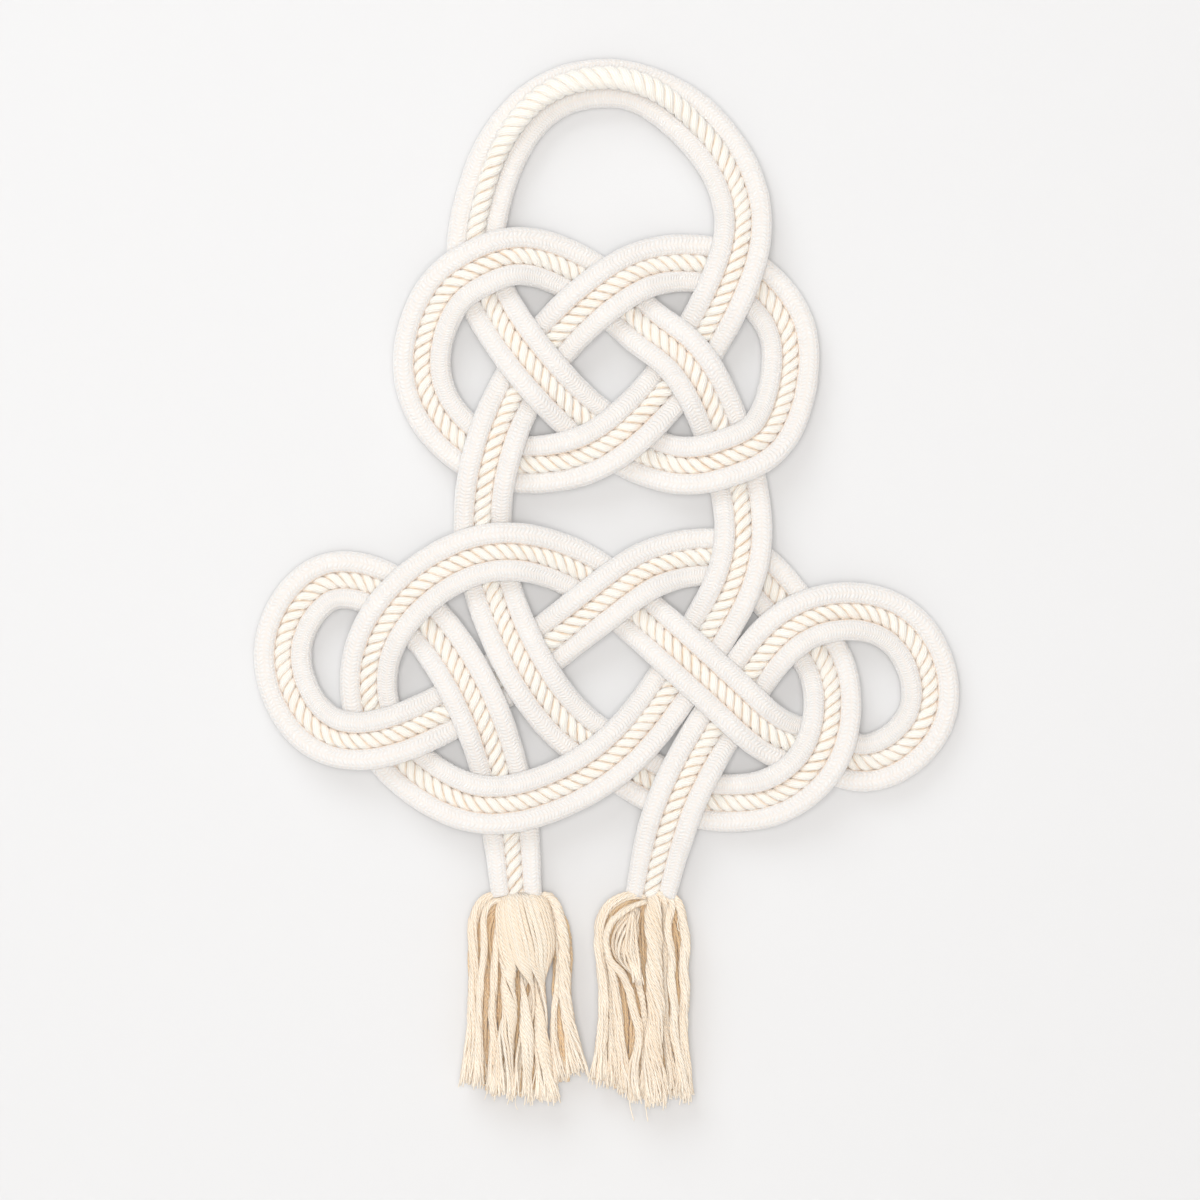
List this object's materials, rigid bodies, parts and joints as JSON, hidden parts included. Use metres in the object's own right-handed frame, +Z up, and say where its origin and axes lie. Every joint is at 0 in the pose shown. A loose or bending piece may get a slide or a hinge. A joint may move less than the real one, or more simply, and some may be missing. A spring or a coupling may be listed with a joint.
{
  "type": "macrame wall hanging",
  "caption": "Wall hanging knotted from a flat band of three cotton ropes in two interlaced knots under a hanging loop, with a loose tassel at each end.",
  "frame": {"origin": "on the wall behind the middle of the hanging loop's top edge, where the hanging is held", "axes": "+Z up the wall, +Y into the wall, +X to the viewer's right; the front faces -Y"},
  "size_m": [0.6172, 0.0392, 0.9179],
  "materials": {
    "braided_cotton": "matte off-white braided cotton",
    "twisted_cotton": "matte cream twisted cotton",
    "tassel_cotton": "matte natural cotton, unlaid into yarns"
  },
  "bodies": {
    "root": {"braided_rope_1": "braided_cotton", "twisted_rope": "twisted_cotton", "braided_rope_2": "braided_cotton", "tassel_left": "tassel_cotton", "tassel_right": "tassel_cotton"}
  },
  "joints": []
}
